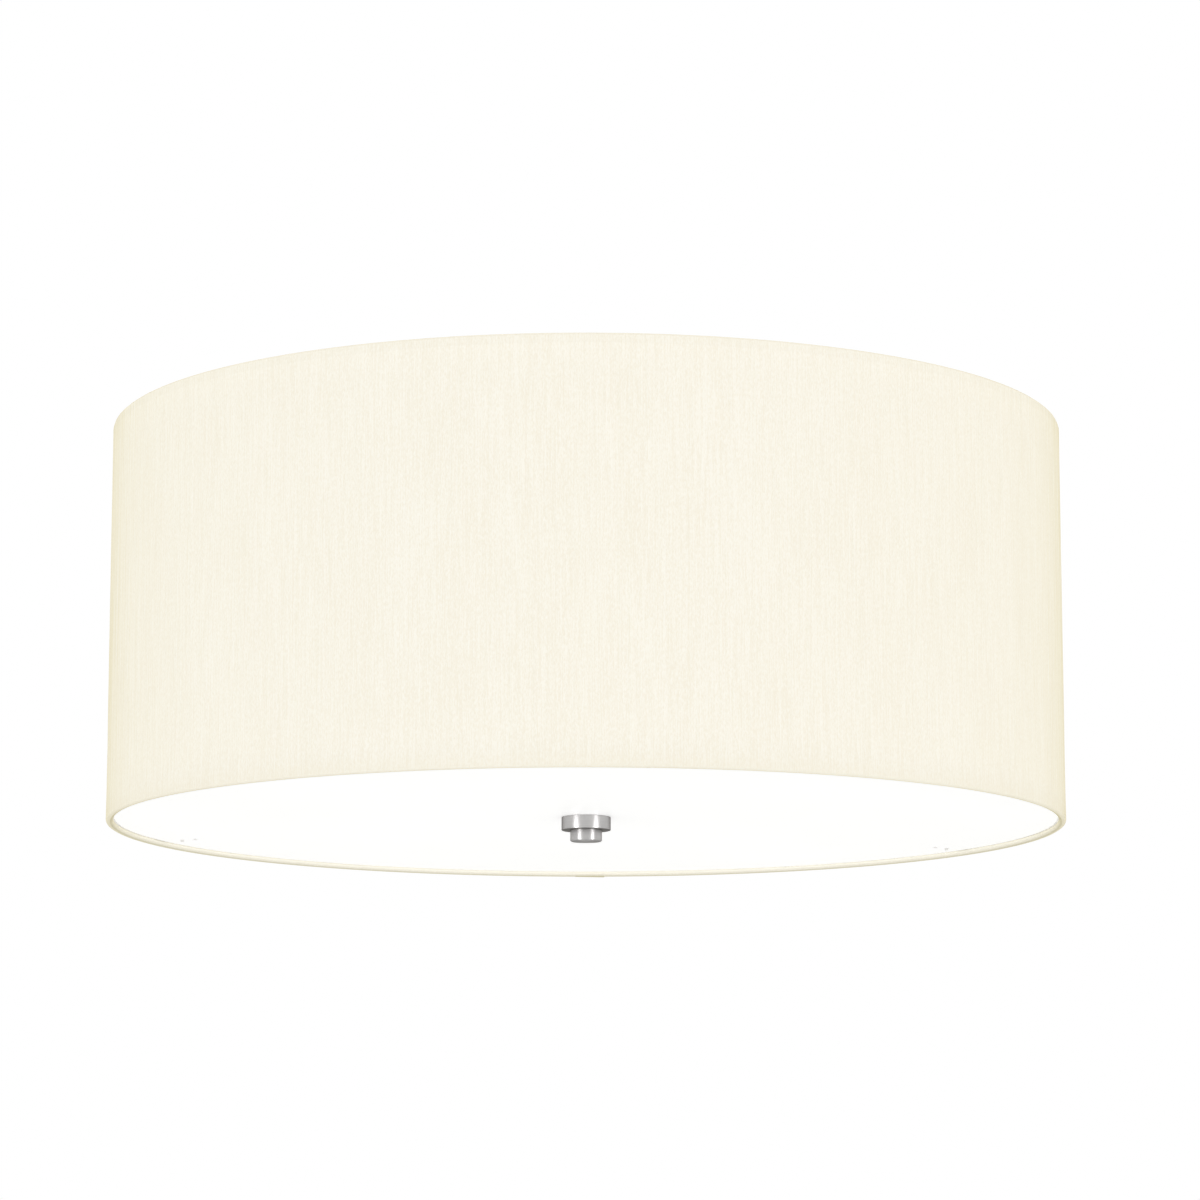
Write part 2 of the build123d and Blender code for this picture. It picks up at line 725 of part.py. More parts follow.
# ---------------------------------------------------------------- output
def main():
    os.makedirs("parts", exist_ok=True)
    save("ceiling_strap", make_strap())
    save("earth_screw", make_earth_screw())
    save("earth_lug", make_earth_lug())
    save("earth_lead", make_earth_core())
    save("ceiling_cup", make_cup())
    save("cup_side_screws", group([make_side_screw(azimuth) for azimuth in (0, 180)]))
    save("cup_grommets", group([make_grommet(azimuth) for azimuth in lamp_azimuths]))
    save("terminal_block", make_block())
    save("terminal_inserts", make_inserts())
    save("terminal_screws", make_clamp_screws())
    save("terminal_fixing", make_fixing())
    save("threaded_tube", make_rod())
    save("tube_nuts", make_nuts())
    save("tube_washers", make_washers())
    save("upper_sleeve", make_sleeve(hub_top_z, -cup_h))
    save("lower_sleeve", make_sleeve(bracket_z, hub_low_z))
    save("lamp_bracket", make_bracket())
    save("holder_nipples", group([along_radius(a, lamp_z, make_nipple()) for a in lamp_azimuths]))
    save("holder_nuts", group([along_radius(a, lamp_z, make_holder_nut()) for a in lamp_azimuths]))
    save("live_leads", make_cores(1, way_xs()[0], live_z))
    save("neutral_leads", make_cores(-1, way_xs()[2], neutral_z))
    for number, azimuth in enumerate(lamp_azimuths, 1):
        pieces = {
            f"holder_{number}_body": make_holder_body(),
            f"holder_{number}_thread_shell": make_thread_shell(),
            f"holder_{number}_contact": make_centre_contact(),
            f"lamp_{number}_tip": make_lamp_tip(),
            f"lamp_{number}_cap": make_lamp_cap(),
            f"lamp_{number}_collar": make_lamp_collar(),
            f"lamp_{number}_led_board": make_lamp_board(),
            f"lamp_{number}_globe": make_lamp_globe(),
        }
        for name, piece in pieces.items():
            save(name, along_radius(azimuth, lamp_z, piece))
    save("shade_top_ring", make_ring(top_ring_z))
    save("shade_bottom_ring", make_ring(bottom_ring_z))
    save("spider_spokes", make_spokes())
    save("spider_hub", make_spider_hub())
    save("shade_lining", make_lining())
    save("shade_cover", make_cover())
    save("stop_tabs", make_tabs())
    save("stop_pins", make_pins())
    save("diffuser", make_diffuser())
    save("diffuser_washer", make_soft_washer())
    save("finial_cap", make_finial_cap())
    save("finial_knob", make_finial_knob())


main()
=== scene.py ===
import json
import math

import bpy
import numpy as np
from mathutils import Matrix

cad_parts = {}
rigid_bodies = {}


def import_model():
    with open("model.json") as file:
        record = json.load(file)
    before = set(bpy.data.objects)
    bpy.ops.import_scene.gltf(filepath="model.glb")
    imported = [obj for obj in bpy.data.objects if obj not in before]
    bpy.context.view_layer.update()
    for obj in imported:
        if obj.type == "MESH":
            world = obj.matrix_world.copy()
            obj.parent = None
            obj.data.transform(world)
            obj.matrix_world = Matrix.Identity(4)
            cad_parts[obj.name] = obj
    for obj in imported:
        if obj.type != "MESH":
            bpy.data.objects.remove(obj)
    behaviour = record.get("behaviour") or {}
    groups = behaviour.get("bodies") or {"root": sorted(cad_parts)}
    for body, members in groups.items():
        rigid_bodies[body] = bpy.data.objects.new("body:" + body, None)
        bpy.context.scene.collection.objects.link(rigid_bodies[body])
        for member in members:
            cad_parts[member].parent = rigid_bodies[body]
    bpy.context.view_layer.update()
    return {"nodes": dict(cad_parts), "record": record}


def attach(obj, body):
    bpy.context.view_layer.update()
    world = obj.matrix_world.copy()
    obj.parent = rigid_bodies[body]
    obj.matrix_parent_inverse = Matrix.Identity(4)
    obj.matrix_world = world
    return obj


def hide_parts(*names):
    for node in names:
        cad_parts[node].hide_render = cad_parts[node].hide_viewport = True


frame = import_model()
mm = 0.001  # the scene is in metres
print("frame loaded,", len(frame["nodes"]), "nodes")


def clearSelection():
    for item in bpy.context.view_layer.objects:
        item.select_set(False)


def pickOnly(piece):
    clearSelection()
    piece.select_set(True)
    bpy.context.view_layer.objects.active = piece


def startPiece(name):
    piece = bpy.context.object
    piece.name = name
    piece.data.name = name
    return piece


def editMode(on):
    bpy.ops.object.mode_set(mode="EDIT" if on else "OBJECT")


def pickOpenRims():
    bpy.ops.mesh.select_all(action="DESELECT")
    bpy.ops.mesh.select_non_manifold()


def faceOutwards():
    bpy.ops.mesh.select_all(action="SELECT")
    bpy.ops.mesh.normals_make_consistent(inside=False)
    editMode(False)


def ringPiece(name, count, profile, closed=False):
    # a ring of points is extruded along a profile of (radius, height), as a lathe would
    clearSelection()
    radius, height = profile[0]
    bpy.ops.mesh.primitive_circle_add(vertices=count, radius=radius, location=(0, 0, height))
    piece = startPiece(name)
    bpy.ops.object.transform_apply(location=True, rotation=True, scale=True)
    editMode(True)
    bpy.ops.mesh.select_mode(type="EDGE")
    bpy.ops.mesh.select_all(action="SELECT")
    for nextRadius, nextHeight in profile[1:]:
        bpy.ops.mesh.extrude_edges_move(TRANSFORM_OT_translate={"value": (0, 0, nextHeight - height)})
        grow = nextRadius / radius
        bpy.ops.transform.resize(value=(grow, grow, 1), center_override=(0, 0, nextHeight))
        radius, height = nextRadius, nextHeight
    if closed:
        pickOpenRims()
        bpy.ops.mesh.bridge_edge_loops()
    faceOutwards()
    return piece


def smooth(piece, angle):
    pickOnly(piece)
    bpy.ops.object.shade_smooth_by_angle(angle=math.radians(angle), keep_sharp_edges=False)


def pointsOf(piece):
    flat = np.zeros(len(piece.data.vertices) * 3)
    piece.data.vertices.foreach_get("co", flat)
    return flat.reshape(-1, 3)


def setPoints(piece, points):
    piece.data.vertices.foreach_set("co", points.astype(np.float32).ravel())
    piece.data.update()


def dress(piece, finish):
    piece.data.materials.clear()
    piece.data.materials.append(finish)


class Wire:
    # a socket that takes part in Python expressions
    def __init__(self, graph, socket):
        self.graph, self.socket = graph, socket

    def math(self, operation, *others):
        return self.graph.add("ShaderNodeMath", {"operation": operation}, dict(enumerate((self, *others))))

    def __add__(self, other):
        return self.math("ADD", other)

    def __sub__(self, other):
        return self.math("SUBTRACT", other)

    def __rsub__(self, other):
        return self.graph.add("ShaderNodeMath", {"operation": "SUBTRACT"}, {0: other, 1: self})

    def __mul__(self, other):
        return self.math("MULTIPLY", other)

    __radd__ = __add__
    __rmul__ = __mul__

    def between(self, low, high):
        # 0 below low, 1 above high, smooth in between
        values = {"Value": self, "From Min": low, "From Max": high}
        return self.graph.add("ShaderNodeMapRange", {"interpolation_type": "SMOOTHSTEP"}, values)


class Graph:
    # a node tree, its nodes added one call at a time
    def __init__(self, tree, outputKind):
        self.tree = tree
        tree.nodes.clear()
        self.output = self.add(outputKind)

    def add(self, kind, settings=None, values=None, out=0):
        node = self.tree.nodes.new(kind)
        for key, value in (settings or {}).items():
            setattr(node, key, value)
        for key, value in (values or {}).items():
            self.put(node.inputs[key], value)
        return Wire(self, node.outputs[out]) if node.outputs else node

    def put(self, socket, value):
        if isinstance(value, Wire):
            self.tree.links.new(value.socket, socket)
        elif socket.type == "RGBA":
            socket.default_value = (*value, 1)  # colours are written without their alpha
        else:
            socket.default_value = value

    def show(self, surface):
        self.put(self.output.inputs["Surface"], surface)


class Finish(Graph):
    # one Principled material
    def __init__(self, name):
        self.material = bpy.data.materials.new(name)
        self.material.use_nodes = True
        super().__init__(self.material.node_tree, "ShaderNodeOutputMaterial")
        self.surface = self.add("ShaderNodeBsdfPrincipled")
        self.show(self.surface)
        self.place = self.add("ShaderNodeTexCoord", out="Object")

    def set(self, **values):
        sockets = self.surface.socket.node.inputs
        for key, value in values.items():
            self.put(sockets[key.replace("_", " ")], value)

    def axes(self, vector):
        split = self.add("ShaderNodeSeparateXYZ", None, {"Vector": vector})
        return [Wire(self, socket) for socket in split.socket.node.outputs]

    def noise(self, scale, detail=3.0, rough=0.55, stretch=None, lean=0.0):
        where = self.place
        if stretch:
            where = self.add("ShaderNodeMapping", None, {"Vector": where, "Scale": stretch})
        values = {"Vector": where, "Scale": scale, "Detail": detail, "Roughness": rough, "Distortion": lean}
        return self.add("ShaderNodeTexNoise", None, values)

    def blend(self, factor, first, second):
        # the colour form of Mix: factor, A and B are its inputs 0, 6 and 7, the colour its output 2
        return self.add("ShaderNodeMix", {"data_type": "RGBA"}, {0: factor, 6: first, 7: second}, out=2)

    def relief(self, height, distance):
        return self.add("ShaderNodeBump", None, {"Height": height, "Distance": distance})


def fabricFinish():
    f = Finish("creamSlub")
    look = {
        "cream": (0.926, 0.876, 0.757),
        "pale": (0.985, 0.955, 0.870),
        "rimShade": (0.94, 0.875, 0.71),
        "topShade": (0.80, 0.755, 0.64),
        # painted light on the roll's inner side, where the disc lights it
        "inside": (0.995, 0.965, 0.875),
        # painted shade under the roll's foot, and darker still at the seam's lap
        "under": (0.79, 0.745, 0.585),
        "lap": (0.70, 0.65, 0.46),
        "sheen": (0.85, 0.78, 0.55),
        "deepSides": (0.988, 0.985, 0.970),
        "shineThrough": (1.0, 0.97, 0.88),
        "shineLevel": 0.07,
        "rough": 0.85,
        "gloss": 0.15,
        "sheenLevel": 0.25,
        "sheenRough": 0.3,
        "coatIndex": 1.001,
        "coatRough": 0.6,
        "rimShadeShare": 0.2,  # how far the painted shade near the rim goes towards its tone
        "topBandShare": 0.10,
        "topShare": 0.45,
        "threadHeight": 0.11 * mm,
        # where a mask starts and where it is full, in heights unless it says otherwise
        "outerHalf": (297.2 * mm, 298.4 * mm),  # radius
        "overHem": (-262.0 * mm, -250.0 * mm),
        "overRollFoot": (-261.8 * mm, -261.1 * mm),
        "overRollGlow": (-261.2 * mm, -260.0 * mm),
        "litStart": (-261.1 * mm, -259.4 * mm),
        "litEnd": (-257.0 * mm, -255.0 * mm),
        "topBand": (-18.2 * mm, -17.8 * mm),
        "topRound": (-14.0 * mm, -12.5 * mm),
        "seamSide": (280.0 * mm, 281.0 * mm),  # Y
        "lapStart": (-7.8 * mm, -7.0 * mm),  # X
        "lapEnd": (12.5 * mm, 12.7 * mm),  # X
    }
    weave = {  # noise scale, detail, roughness and stretch
        "slub": (1350, 1.0, 0.5, (1, 1, 0.022)),
        "thread": (1700, 1.0, 0.5, (1, 1, 0.3)),
        "weft": (1700, 1.0, 0.5, (0.06, 0.06, 1)),
        "grain": (1500, 2.0, 0.6),
        "broad": (30, 2.0, 0.5, (1, 1, 0.3)),
    }
    slub, thread, weft, grain, broad = (f.noise(*settings) for settings in weave.values())
    height = slub * 0.45 + thread * 0.4 + weft * 0.15 + grain * 0.2
    mix = slub * 0.33 + thread * 0.47 + grain * 0.1 + broad * 0.1
    x, y, z = f.axes(f.place)
    radius = (x * x + y * y).math("SQRT")
    inner = 1 - radius.between(*look["outerHalf"])  # the half of the rolled hem that faces the middle
    # painted shade: the cloth darker and yellower towards the rim, over its lowest 12 mm
    rimShadeMask = (1 - z.between(*look["overHem"])) * look["rimShadeShare"]
    # painted shade: the top band, and more the rounded top edge, darker where the light from above falls
    # stronger
    topShadeMask = z.between(*look["topBand"]) * look["topBandShare"]
    topShadeMask += z.between(*look["topRound"]) * look["topShare"]
    # painted light: the roll's inner side, between its foot and the disc, lighter where the disc's light
    # falls on it; the same mask feeds the glow below
    litInsideMask = inner * z.between(*look["litStart"]) * (1 - z.between(*look["litEnd"]))
    # painted shade: the foot of the roll's inner side darker and olive, darkest at the seam's lap
    underMask = inner * (1 - z.between(*look["overRollFoot"]))
    atSeam = y.between(*look["seamSide"]) * x.between(*look["lapStart"]) * (1 - x.between(*look["lapEnd"]))
    tone = f.blend(mix.between(0.36, 0.64), look["cream"], look["pale"])
    tone = f.blend(rimShadeMask, tone, look["rimShade"])
    tone = f.blend(topShadeMask, tone, look["topShade"])
    tone = f.blend(litInsideMask, tone, look["inside"])
    tone = f.blend(underMask, tone, f.blend(atSeam, look["under"], look["lap"]))
    f.set(Base_Color=tone, Roughness=look["rough"], Specular_IOR_Level=look["gloss"])
    f.set(Sheen_Weight=look["sheenLevel"], Sheen_Roughness=look["sheenRough"], Sheen_Tint=look["sheen"])
    # a coat without gloss only deepens the cloth towards the drum's sides
    f.set(Coat_Weight=1.0, Coat_IOR=look["coatIndex"], Coat_Roughness=look["coatRough"])
    f.set(Coat_Tint=look["deepSides"], Normal=f.relief(height, look["threadHeight"]))
    # the roll lets some of the disc's light through
    lit = litInsideMask + (1 - inner) * (1 - z.between(*look["overRollGlow"]))
    glow = f.blend(lit, (0.0, 0.0, 0.0), look["shineThrough"])
    f.set(Emission_Color=glow, Emission_Strength=look["shineLevel"])
    return f.material


def laminateFinish():
    f = Finish("whiteLaminate")
    look = {"fibre": (0.90, 0.885, 0.84), "sheet": (0.94, 0.93, 0.90), "rough": 0.5, "fleckHeight": 0.03 * mm}
    fleck = f.noise(260, 3.0)
    f.set(Base_Color=f.blend(fleck.between(0.35, 0.7), look["fibre"], look["sheet"]))
    f.set(Roughness=f.noise(90) * 0.2 + look["rough"], Normal=f.relief(fleck, look["fleckHeight"]))
    return f.material


def opalFinish():
    f = Finish("opalAcrylic")
    look = {
        "milk": (0.815, 0.815, 0.81),
        "clearer": (0.83, 0.83, 0.83),
        "light": (1.0, 0.995, 0.985),
        "lightLevel": 0.335,
        "rough": 0.42,
        "gloss": 0.22,
        "ripple": 0.01 * mm,
    }
    cloud = f.noise(6, 2.0)
    f.set(Base_Color=f.blend(cloud.between(0.3, 0.7), look["milk"], look["clearer"]))
    f.set(Roughness=f.noise(40) * 0.1 + look["rough"], Specular_IOR_Level=look["gloss"])
    f.set(Normal=f.relief(f.noise(700, 1.0), look["ripple"]))
    f.set(Emission_Color=look["light"], Emission_Strength=look["lightLevel"])
    return f.material


def nickelFinish(name, edge, underShadeLevel):
    # fine turning lines run round the axis, on the sides and across the flat faces
    f = Finish(name)
    look = {
        "dark": (0.50, 0.492, 0.49),
        "light": (0.56, 0.552, 0.55),
        "underside": (0.26, 0.25, 0.24),
        "rough": 0.30,
        "brushed": 0.85,
        "brushedTurn": 0.25,
        "fineLines": 9000,
        "coarseLines": 2200,
        "lineDepth": 0.002 * mm,
    }
    x, y, z = f.axes(f.place)
    radius = (x * x + y * y).math("SQRT")
    line = f.add("ShaderNodeCombineXYZ", None, {"X": radius, "Z": z})
    fine, coarse = (
        f.add("ShaderNodeTexNoise", None, {"Vector": line, "Scale": look[lines], "Detail": 2.0})
        for lines in ("fineLines", "coarseLines")
    )
    smudge = f.noise(120, 3.0)
    facing = f.axes(f.add("ShaderNodeNewGeometry", out="Normal"))
    # painted shade: faces that look down are darker, for the shade under the cap and the knob; the cap's low
    # edge tint darkens its grazing reflections as painted shade too
    under = 1 - facing[2].between(-0.98, -0.8)
    tone = f.blend(coarse.between(0.3, 0.7), look["dark"], look["light"])
    f.set(Base_Color=f.blend(under * underShadeLevel, tone, look["underside"]), Specular_Tint=edge)
    f.set(Metallic=1.0, Roughness=smudge * 0.08 + coarse * 0.06 + look["rough"])
    f.set(Anisotropic=look["brushed"], Anisotropic_Rotation=look["brushedTurn"])
    f.set(Normal=f.relief(fine * 0.6 + coarse * 0.4, look["lineDepth"]))
    return f.material


def plated(name, colour, second, rough, tint=None, grit=0.01 * mm):
    # plated metal: fine grain, cloudy plating, a little dulling
    f = Finish(name)
    cloud, grain = f.noise(55, 4.0), f.noise(2600, 2.0)
    tone = f.blend(cloud.between(0.35, 0.68), colour, second)
    if tint:
        tone = f.blend(f.noise(140, 2.0).between(0.5, 0.75) * 0.5, tone, tint)
    f.set(Base_Color=tone, Metallic=1.0, Roughness=f.noise(420, 3.0) * 0.16 + rough)
    f.set(Normal=f.relief(grain, grit))
    return f.material


def painted(name, colour, second, rough, peel=0.02 * mm, coat=0.0):
    # enamel or powder coat: soft orange peel and slight soiling
    f = Finish(name)
    soil, skin = f.noise(24, 4.0), f.noise(900, 2.0)
    f.set(Base_Color=f.blend(soil.between(0.4, 0.75), colour, second))
    f.set(Roughness=f.noise(160, 3.0) * 0.12 + rough, Coat_Weight=coat, Coat_Roughness=0.12)
    f.set(Normal=f.relief(skin, peel))
    return f.material


def moulded(name, colour, second, rough, specks=0.01 * mm, clear=0.0):
    # moulded plastic: slight flow marks and a matt spark texture
    f = Finish(name)
    flow, spark = f.noise(35, 3.0, 0.5, (1, 1, 0.4), 0.6), f.noise(1800, 2.0)
    f.set(Base_Color=f.blend(flow.between(0.35, 0.7), colour, second))
    f.set(Roughness=spark * 0.1 + rough, Normal=f.relief(spark, specks), Transmission_Weight=clear)
    return f.material


def earthFinish():
    # green with slanting yellow bands
    f = Finish("earthInsulation")
    look = {
        "green": (0.05, 0.28, 0.06),
        "yellow": (0.82, 0.66, 0.05),
        "bands": 900,
        "rough": 0.32,
        "grain": 0.01 * mm,
    }
    x, y, z = f.axes(f.place)
    along = (x + z * 1.6 + y * 0.5) * look["bands"]
    f.set(Base_Color=f.blend(along.math("SINE").between(-0.1, 0.1), look["green"], look["yellow"]))
    f.set(Roughness=f.noise(600) * 0.1 + look["rough"], Normal=f.relief(f.noise(1800), look["grain"]))
    return f.material


def makeFinishes():
    # each metal, paint or plastic: name, colour, second colour, roughness, and what else it needs
    return {
        "cream_slub": fabricFinish(),
        "white_laminate": laminateFinish(),
        "white_wire": painted("whiteWire", (0.88, 0.88, 0.86), (0.83, 0.83, 0.80), 0.34, peel=0.04 * mm),
        "opal_acrylic": opalFinish(),
        "brushed_nickel": nickelFinish("nickelCap", (0.30, 0.29, 0.28), 0.75),
        "nickel_screws": plated("nickelScrews", (0.70, 0.69, 0.66), (0.62, 0.61, 0.58), 0.18),
        "zinc_steel": plated(
            "zincSteel", (0.66, 0.68, 0.70), (0.57, 0.59, 0.60), 0.26, tint=(0.66, 0.63, 0.50)
        ),
        "white_enamel": painted(
            "whiteEnamel", (0.90, 0.90, 0.885), (0.86, 0.86, 0.84), 0.24, peel=0.03 * mm, coat=0.35
        ),
        "pin_steel": painted("pinSteel", (0.86, 0.85, 0.82), (0.80, 0.79, 0.76), 0.34),
        "clear_silicone": moulded("clearSilicone", (0.84, 0.86, 0.86), (0.78, 0.80, 0.80), 0.30, clear=0.35),
        "black_rubber": moulded(
            "blackRubber", (0.025, 0.025, 0.027), (0.05, 0.05, 0.05), 0.62, specks=0.03 * mm
        ),
        "terminal_nylon": moulded("terminalNylon", (0.86, 0.86, 0.83), (0.80, 0.80, 0.77), 0.42, clear=0.1),
        "brass": plated("brass", (0.78, 0.60, 0.28), (0.64, 0.46, 0.20), 0.24, tint=(0.50, 0.34, 0.16)),
        "holder_white": moulded(
            "holderWhite", (0.88, 0.87, 0.84), (0.84, 0.83, 0.80), 0.32, specks=0.03 * mm
        ),
        "lamp_cap_nickel": plated("lampCapNickel", (0.72, 0.71, 0.69), (0.64, 0.63, 0.62), 0.16),
        "solder": plated("solder", (0.60, 0.60, 0.61), (0.48, 0.48, 0.49), 0.34, grit=0.03 * mm),
        "lamp_white_body": moulded("lampWhiteBody", (0.91, 0.91, 0.89), (0.88, 0.88, 0.86), 0.26),
        "led_board_aluminium": painted("ledBoard", (0.86, 0.87, 0.86), (0.80, 0.81, 0.80), 0.40),
        "lamp_opal": moulded("lampOpal", (0.86, 0.85, 0.82), (0.83, 0.82, 0.79), 0.30),
        "live_insulation": moulded("liveInsulation", (0.16, 0.065, 0.025), (0.12, 0.05, 0.02), 0.34),
        "neutral_insulation": moulded("neutralInsulation", (0.02, 0.075, 0.36), (0.015, 0.06, 0.30), 0.34),
        "earth_insulation": earthFinish(),
    }


finishes = makeFinishes()
finishes["knob"] = nickelFinish("nickelKnob", (0.50, 0.49, 0.48), 0.35)
slotOf = {part["node"]: part["material_slot"] for part in frame["record"]["subparts"]}
for node, piece in frame["nodes"].items():
    for spot in piece.material_slots:
        spot.material = finishes[slotOf[node]]
print("finishes on", len(frame["nodes"]), "nodes")


fabric = {
    "columns": 2600,
    "wallRows": 13,
    "radius": 300.0 * mm,
    "thick": 0.35 * mm,
    "top": -12.0 * mm,
    "rim": -262.0 * mm,
    "rollRadius": 1.9 * mm,
    "rollOpen": 0.85 * mm,
    "rollSteps": 7,
    "innerRollSteps": 4,
    "slubHeight": 0.085 * mm,
    "slubMost": 2.2,  # the strongest thread, in standard deviations
    "keepAlong": 0.72,  # how much of a thread's bulge goes on to the next row
    "calmHigh": 6.0 * mm,  # below this height over the rim the threads fade
    "calmLeast": 0.35,
    "seamAt": 89.5,
    "seamWide": 20.0 * mm,
    "seamRise": 0.5,  # the lap's height on the roll at its sewn edge, in cloths; one more at the free edge
    "hemProud": 0.5 * mm,  # how far the wire and the turned-in edge push the wall out
    "hemHigh": 9.0 * mm,
    "tuckIn": 0.5 * mm,  # how far the roll's inner side reaches towards the disc
    "smoothAngle": 50,
    "seed": 7,
}


def rollProfile(middle, radius, direction, reach, steps):
    # from the outermost point round below or above the wire to the fabric's end
    points = []
    for step in range(steps + 1):
        turn = reach * step / steps
        height = middle[1] + direction * radius * math.sin(turn)
        points.append((middle[0] + radius * math.cos(turn), height))
    return points


def fabricProfile(low, high, reach):
    # the outer face from the top roll's end to the bottom roll's end, then the inner face back up
    size = fabric
    outer, inner = size["rollRadius"], size["rollRadius"] - size["thick"]
    wall = np.linspace(high[1], low[1], size["wallRows"] + 1)[1:-1]
    profile = rollProfile(high, outer, 1, reach, size["rollSteps"])[::-1]
    profile += [(size["radius"], z) for z in wall]
    profile += rollProfile(low, outer, -1, reach, size["rollSteps"])
    profile += rollProfile(low, inner, -1, reach, size["innerRollSteps"])[::-1]
    profile += rollProfile(high, inner, 1, reach, size["innerRollSteps"])
    return profile


def threadField(rows):
    # bulge of every column at every row: random threads that swell and fade along their length
    draw = np.random.default_rng(fabric["seed"])
    keep, most = fabric["keepAlong"], fabric["slubMost"]
    field = np.zeros((rows, fabric["columns"]))
    for row in range(rows):
        fresh = draw.standard_normal(fabric["columns"])
        before = field[row - 1] if row else fresh
        field[row] = keep * before + math.sqrt(1 - keep * keep) * fresh
    field = (np.roll(field, 1, axis=1) + 2 * field + np.roll(field, -1, axis=1)) / 4
    return np.clip(field / field.std(), -most, most)


def bulgeAt(around, upShare):
    # the thread field read at each point's column, and between the two nearest rows
    field = threadField(fabric["wallRows"] + 1)
    column = np.mod(around / (2 * math.pi) * fabric["columns"], fabric["columns"])
    left = np.floor(column).astype(int) % fabric["columns"]
    row = upShare * fabric["wallRows"]
    below = np.clip(np.floor(row).astype(int), 0, fabric["wallRows"] - 1)
    part = row - below
    return field[below, left] * (1 - part) + field[below + 1, left] * part


def shapeCloth(piece, low, high):
    # threads, the fuller hem and the seam's lap, pushed out of the plain drum
    size = fabric
    outer, inner = size["rollRadius"], size["rollRadius"] - size["thick"]
    points = pointsOf(piece)
    around = np.arctan2(points[:, 1], points[:, 0])
    past = np.hypot(points[:, 0], points[:, 1]) - low[0]  # how far outside the wires' radius
    z = points[:, 2]
    wireZ = np.clip(z, low[1], high[1])
    fromWire = np.hypot(np.minimum(past, outer), z - wireZ)
    onWall = (z > low[1]) & (z < high[1])
    outside = np.clip((np.where(onWall, past, fromWire) - inner) / size["thick"], 0, 1)  # 1 on the outer face
    calm = np.clip((z - size["rim"]) / size["calmHigh"], size["calmLeast"], 1)
    push = bulgeAt(around, (wireZ - low[1]) / (high[1] - low[1])) * size["slubHeight"] * calm * outside
    nearHem = np.clip((size["rim"] + size["hemHigh"] - z) / size["hemHigh"], 0, 1)
    push += size["hemProud"] * nearHem * nearHem * np.clip(past / outer, 0, 1) * outside
    push -= size["tuckIn"] * (z < low[1] + outer) * np.clip(-past / outer, 0, 1)
    turn = np.mod(around - math.radians(size["seamAt"]) + math.pi, 2 * math.pi) - math.pi
    inSeam = np.abs(turn) * size["radius"] < size["seamWide"] / 2
    lapEdge = np.clip(0.5 - turn * size["radius"] / size["seamWide"], 0, 1)  # 1 at the lap's free edge
    rise = np.where(onWall, 1, size["seamRise"] + lapEdge)
    lap = np.where(inSeam & (outside > 0.5), size["thick"] * rise, 0)
    push += lap * np.minimum(past, outer) / fromWire
    points[:, 0] += push * np.cos(around)
    points[:, 1] += push * np.sin(around)
    points[:, 2] += lap * (z - wireZ) / fromWire
    setPoints(piece, points)


def makeFabric():
    size = fabric
    low = (size["radius"] - size["rollRadius"], size["rim"] + size["rollRadius"])  # wires: radius, height
    high = (low[0], size["top"] - size["rollRadius"])
    reach = math.pi + math.acos(size["rollOpen"] / size["rollRadius"])  # how far the cloth goes round a wire
    piece = ringPiece("shadeFabric", size["columns"], fabricProfile(low, high, reach), closed=True)
    shapeCloth(piece, low, high)
    smooth(piece, size["smoothAngle"])
    dress(piece, finishes["cream_slub"])
    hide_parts("shade_cover")
    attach(piece, "root")
    print("fabric done,", len(piece.data.polygons), "faces")


makeFabric()


finial = {
    "capRadius": 15.5 * mm,
    "capTop": -255.3 * mm,
    "capLow": -263.5 * mm,
    "capHole": 5.3 * mm,
    "capWall": 1.2 * mm,
    "capBase": 1.6 * mm,
    "knobRadius": 10.0 * mm,
    "knobTop": -263.6 * mm,
    "knobLow": -270.6 * mm,
    "knobBore": 5.06 * mm,
    "knobFloor": 2.0 * mm,
    "knobEdge": 0.6 * mm,
    "dishInset": 1.32 * mm,
    "dishSlope": 0.3 * mm,
    "dishDepth": 0.12 * mm,
    "middleHole": 0.02 * mm,  # where the last ring ends and a face closes it
    "capSoften": 0.22 * mm,
    "knobSoften": 0.11 * mm,
    "softSteps": 3,
    "softAngle": 30,
    "smoothAngle": 40,
    "sides": 160,
}


def softened(piece, width):
    pickOnly(piece)
    bevel = piece.modifiers.new("soften", "BEVEL")
    bevel.width, bevel.segments, bevel.limit_method = width, finial["softSteps"], "ANGLE"
    bevel.angle_limit = math.radians(finial["softAngle"])
    bevel.harden_normals = False
    bpy.ops.object.modifier_apply(modifier=bevel.name)


def makeFinialCap():
    s = finial
    inner = s["capRadius"] - s["capWall"]
    shelf = s["capLow"] + s["capBase"]
    profile = [
        (s["capHole"], s["capLow"]), (s["capRadius"], s["capLow"]), (s["capRadius"], s["capTop"]),
        (inner, s["capTop"]), (inner, shelf), (s["capHole"], shelf),
    ]
    piece = ringPiece("finialCap", s["sides"], profile, closed=True)
    softened(piece, s["capSoften"])
    smooth(piece, s["smoothAngle"])
    dress(piece, finishes["brushed_nickel"])
    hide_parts("finial_cap")
    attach(piece, "finial_cap")


def makeFinialKnob():
    s = finial
    outer, low, middle = s["knobRadius"], s["knobLow"], s["middleHole"]
    roof = low + s["knobFloor"]
    dishRim, dishFloor = outer - s["dishInset"], low + s["dishDepth"]
    profile = [
        (middle, roof), (s["knobBore"], roof), (s["knobBore"], s["knobTop"]), (outer, s["knobTop"]),
        (outer, low + s["knobEdge"]), (outer - s["knobEdge"], low),
        (dishRim, low), (dishRim - s["dishSlope"], dishFloor), (middle, dishFloor),
    ]
    piece = ringPiece("finialKnob", s["sides"], profile)
    pickOnly(piece)
    editMode(True)
    pickOpenRims()
    bpy.ops.mesh.edge_face_add()
    faceOutwards()
    softened(piece, s["knobSoften"])
    smooth(piece, s["smoothAngle"])
    dress(piece, finishes["knob"])
    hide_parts("finial_knob")
    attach(piece, "finial_knob")


makeFinialCap()
makeFinialKnob()
print("finial done")


